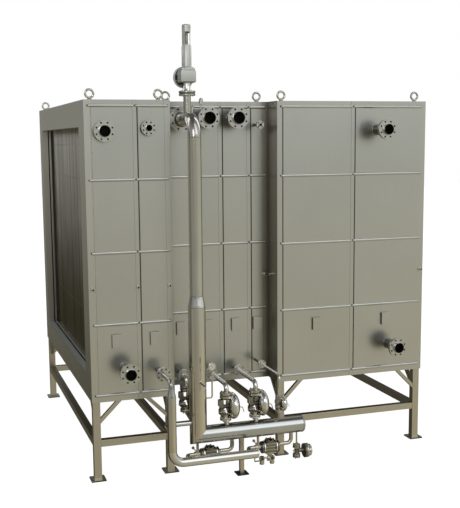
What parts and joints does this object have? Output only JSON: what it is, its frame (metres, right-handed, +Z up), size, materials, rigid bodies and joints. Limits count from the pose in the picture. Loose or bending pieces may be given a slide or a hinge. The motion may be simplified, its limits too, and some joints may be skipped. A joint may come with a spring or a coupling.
{
  "type": "steam air heater",
  "caption": "Steam air heater: panelled duct casing in three modules on a legged frame, with finned coils, steam nozzles, flash vessel, float traps and safety valve.",
  "frame": {"origin": "on the floor, under the middle of the whole machine's outline", "axes": "+Z up; +X along the air's path from the finned inlet to the outlet; -Y towards the nozzles, traps and flash vessel"},
  "size_m": [4.831, 5.0596, 5.707],
  "materials": {
    "frame_steel": "satin",
    "panel_steel": "satin",
    "rod_steel": "satin",
    "coil_fins": "matte",
    "pipe_steel": "satin",
    "cast_steel": "satin",
    "gauge_steel": "satin"
  },
  "bodies": {
    "root": {"legs_front": "frame_steel", "legs_back": "frame_steel", "long_beams": "frame_steel", "cross_beams": "frame_steel", "knee_braces": "frame_steel", "inlet_posts": "panel_steel", "inlet_rails": "panel_steel", "outlet_posts": "panel_steel", "outlet_rails": "panel_steel", "casing_left": "panel_steel", "casing_middle": "panel_steel", "casing_right": "panel_steel", "inlet_coil": "coil_fins", "outlet_coil": "coil_fins", "trim_rods_left": "rod_steel", "trim_rods_middle": "rod_steel", "trim_rods_right": "rod_steel", "inspection_plates": "panel_steel", "tapping_stubs": "rod_steel", "lifting_eyes": "rod_steel", "nozzle_left_upper": "pipe_steel", "nozzle_left_upper_small": "pipe_steel", "nozzle_left_lower": "pipe_steel", "nozzles_mid_upper": "pipe_steel", "nozzle_mid_small": "pipe_steel", "nozzle_right_upper": "pipe_steel", "nozzle_right_lower": "pipe_steel", "steam_elbow": "pipe_steel", "flash_riser": "pipe_steel", "flash_vessel": "pipe_steel", "vessel_end_plate": "pipe_steel", "vessel_support": "frame_steel", "condensate_drop": "pipe_steel", "condensate_header": "pipe_steel", "cross_pipe": "pipe_steel", "safety_valve_body": "pipe_steel", "safety_valve_bonnet": "pipe_steel", "air_vent": "pipe_steel", "trap_line_1": "pipe_steel", "trap_line_2": "pipe_steel", "trap_line_3": "pipe_steel", "trap_line_small": "pipe_steel", "float_trap_1": "cast_steel", "float_trap_2": "cast_steel", "float_trap_3": "cast_steel", "float_trap_small": "cast_steel", "pressure_gauge": "gauge_steel", "drain_trap_left": "cast_steel", "drain_trap_right": "cast_steel", "drain_float_valve": "cast_steel"}
  },
  "joints": []
}
